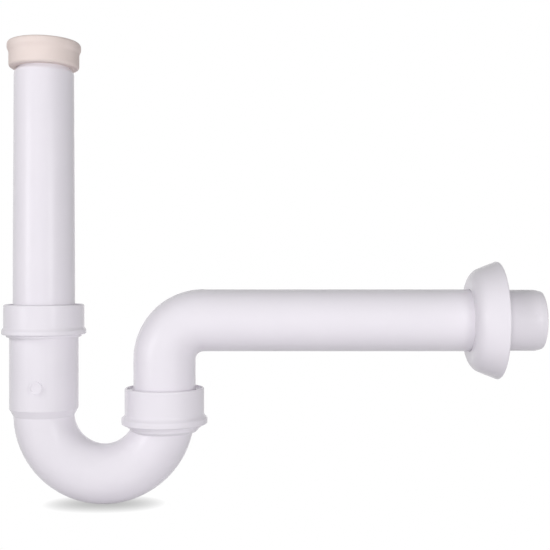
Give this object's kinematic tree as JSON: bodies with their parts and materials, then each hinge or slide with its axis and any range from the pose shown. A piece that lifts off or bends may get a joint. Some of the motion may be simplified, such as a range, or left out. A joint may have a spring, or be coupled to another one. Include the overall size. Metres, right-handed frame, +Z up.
{
  "type": "basin trap",
  "caption": "White plastic basin waste trap: straight inlet pipe with a rubber seal, water-seal bend with slip nuts, swivelling elbow outlet and sliding bell-shaped wall flange.",
  "frame": {"origin": "centre of the rubber seal's mouth, on its top face, where the basin's tail pipe goes in", "axes": "+Z up along the inlet pipe, +X along the outlet arm towards the wall, -Y towards the viewer"},
  "size_m": [0.2785, 0.0608, 0.2384],
  "materials": {
    "white_plastic": "moulded white polypropylene, semi-gloss",
    "cream_rubber": "moulded cream rubber, matt",
    "washer_rubber": "moulded grey rubber, matt"
  },
  "bodies": {
    "seal": {"inlet_seal": "cream_rubber"},
    "inlet": {"inlet_pipe": "white_plastic"},
    "trap_bend": {"u_bend": "white_plastic"},
    "upper_washer": {"upper_seal_ring": "washer_rubber"},
    "upper_slip_nut": {"upper_nut": "white_plastic"},
    "outlet": {"outlet_pipe": "white_plastic"},
    "lower_washer": {"lower_seal_ring": "washer_rubber"},
    "lower_slip_nut": {"lower_nut": "white_plastic"},
    "flange": {"wall_flange": "white_plastic"}
  },
  "joints": [
    {"name": "inlet_swivel", "type": "hinge", "parent": "seal", "child": "inlet", "pos_m": [0, 0, 0], "axis": [0, 0, 1], "continuous": true},
    {"name": "height_adjust", "type": "slide", "parent": "inlet", "child": "trap_bend", "axis": [0, 0, 1], "range_m": [-0.024, 0.012]},
    {"name": "upper_washer_rise", "type": "slide", "parent": "trap_bend", "child": "upper_washer", "axis": [0, 0, 1], "range_m": [0, 0.0105]},
    {"name": "upper_nut_turn", "type": "hinge", "parent": "upper_washer", "child": "upper_slip_nut", "pos_m": [0, 0, -0.143], "axis": [0, 0, 1], "range_deg": [0, 1260]},
    {"name": "outlet_swivel", "type": "hinge", "parent": "trap_bend", "child": "outlet", "pos_m": [0.0624, 0, -0.1856], "axis": [0, 0, 1], "range_deg": [-120, 120]},
    {"name": "lower_washer_rise", "type": "slide", "parent": "trap_bend", "child": "lower_washer", "axis": [0, 0, 1], "range_m": [0, 0.0135]},
    {"name": "lower_nut_turn", "type": "hinge", "parent": "lower_washer", "child": "lower_slip_nut", "pos_m": [0.0624, 0, -0.189], "axis": [0, 0, 1], "range_deg": [0, 1620]},
    {"name": "flange_slide", "type": "slide", "parent": "outlet", "child": "flange", "axis": [1, 0, 0], "range_m": [-0.126, 0.01]}
  ],
  "couplings": [
    {"joint": "upper_washer_rise", "follows": "upper_nut_turn", "m_per_rad": 0.0004774},
    {"joint": "lower_washer_rise", "follows": "lower_nut_turn", "m_per_rad": 0.0004774}
  ]
}
